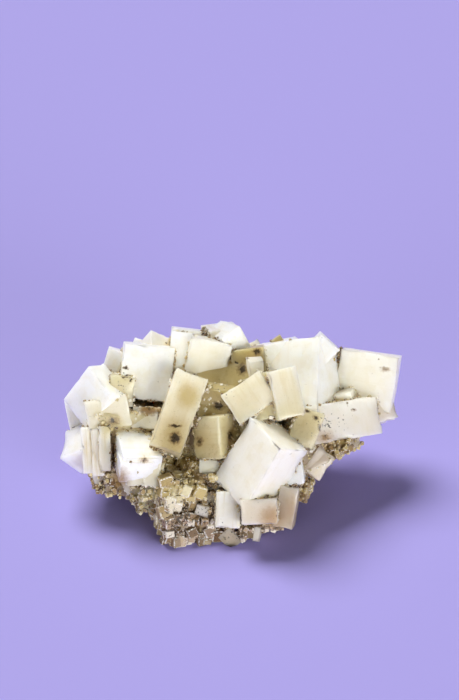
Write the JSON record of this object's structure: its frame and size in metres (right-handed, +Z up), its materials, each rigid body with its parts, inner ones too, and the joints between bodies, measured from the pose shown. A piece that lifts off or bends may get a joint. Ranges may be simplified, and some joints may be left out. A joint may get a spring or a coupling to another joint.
{
  "type": "halite cubic crystal cluster",
  "caption": "Cluster of intergrown milky to clear halite cubes fanned out of a rough crust of small cubes, flat underneath to stand on a shelf.",
  "frame": {"origin": "middle of the cluster's box, on the surface it rests on", "axes": "+X across the cluster towards its far right crystal, +Y from its front to its back, +Z up"},
  "size_m": [0.12, 0.077, 0.0577],
  "materials": {
    "halite": "glassy crystal faces, milky white to khaki, with a pinkish brown granular crust"
  },
  "bodies": {
    "root": {"halite_cluster": "halite"}
  },
  "joints": []
}
